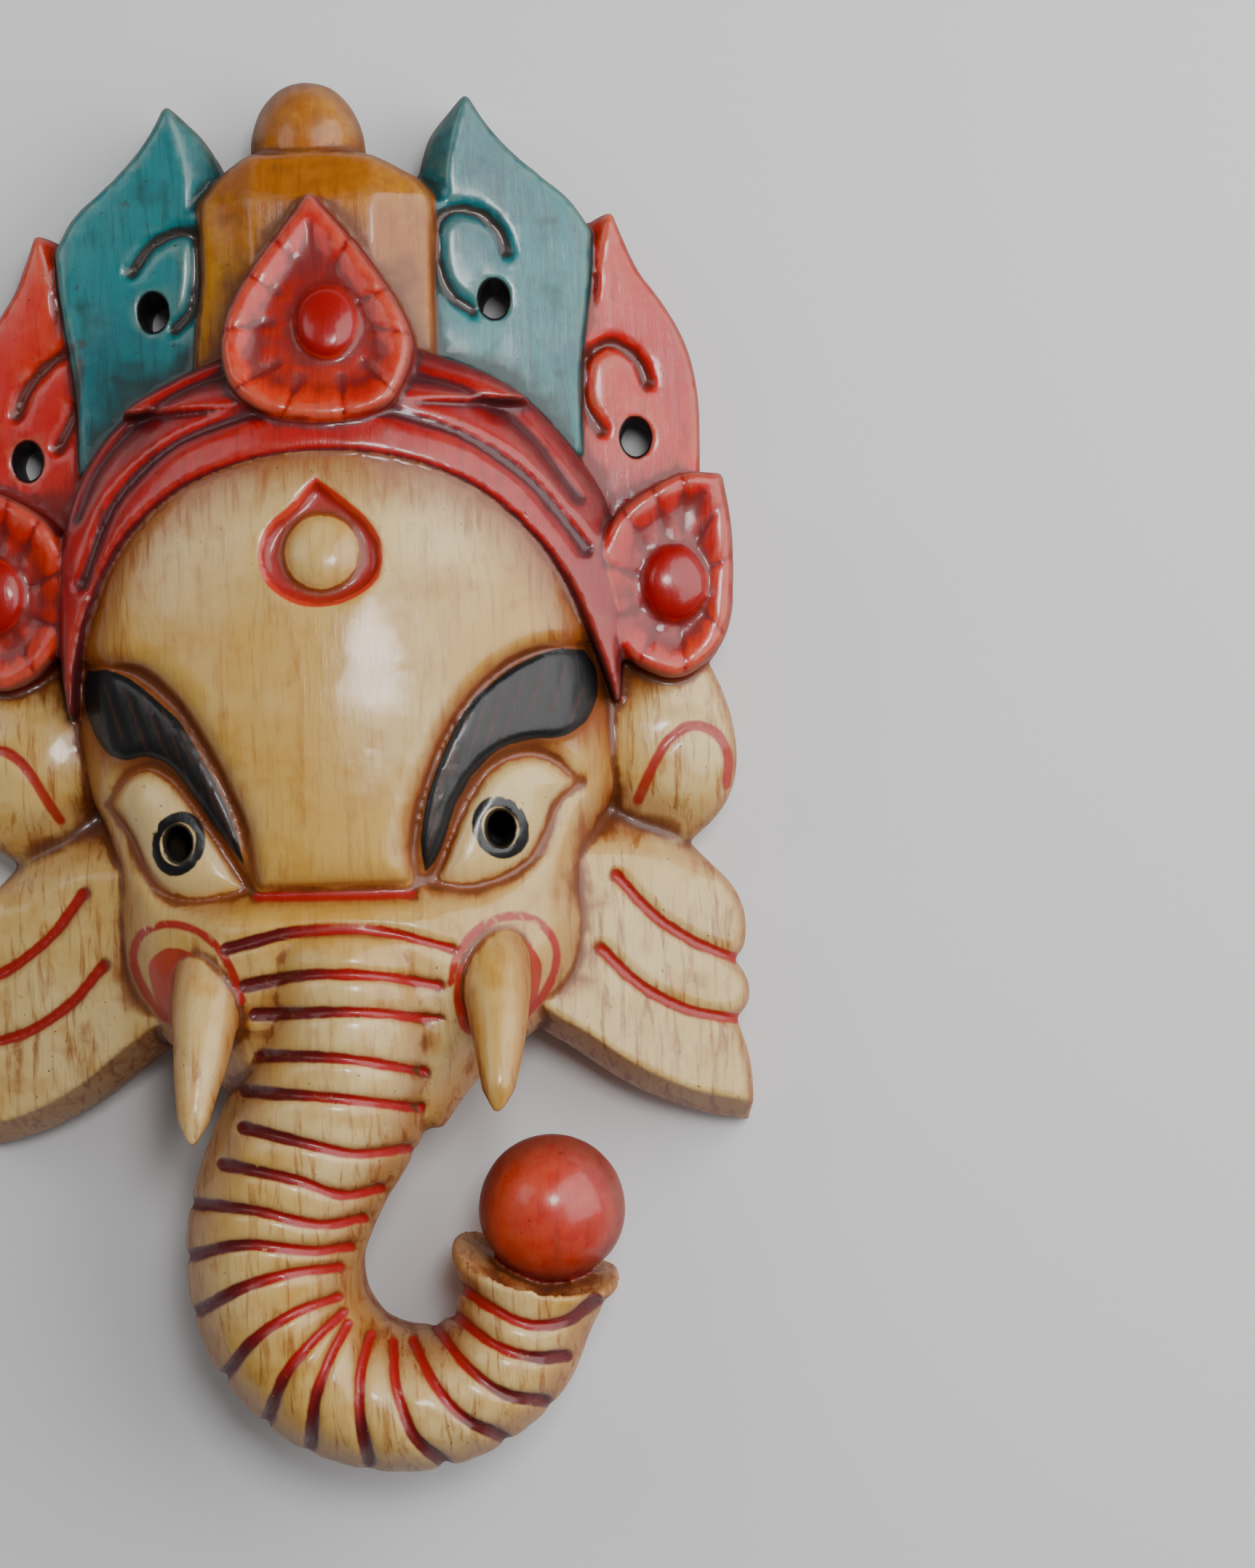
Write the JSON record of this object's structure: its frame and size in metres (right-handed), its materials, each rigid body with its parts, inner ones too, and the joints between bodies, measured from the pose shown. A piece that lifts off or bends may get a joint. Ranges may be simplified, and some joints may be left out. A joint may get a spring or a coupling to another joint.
{
  "type": "carved elephant mask",
  "caption": "Carved and painted wooden elephant mask with a leaf crown, tusks and a curled trunk that holds a ball, hollow behind the face.",
  "frame": {"origin": "middle of the mask's bounding box, on the flat back that it lies on", "axes": "+Z out of the face, +Y to the top of the crown, +X to the viewer's right"},
  "size_m": [0.1422, 0.25, 0.0574],
  "materials": {
    "painted_wood": "cream paint with a brown antique wash, red, coral, turquoise, ochre and black details, glossy varnish, bare wood behind"
  },
  "bodies": {
    "root": {"mask": "painted_wood"}
  },
  "joints": []
}
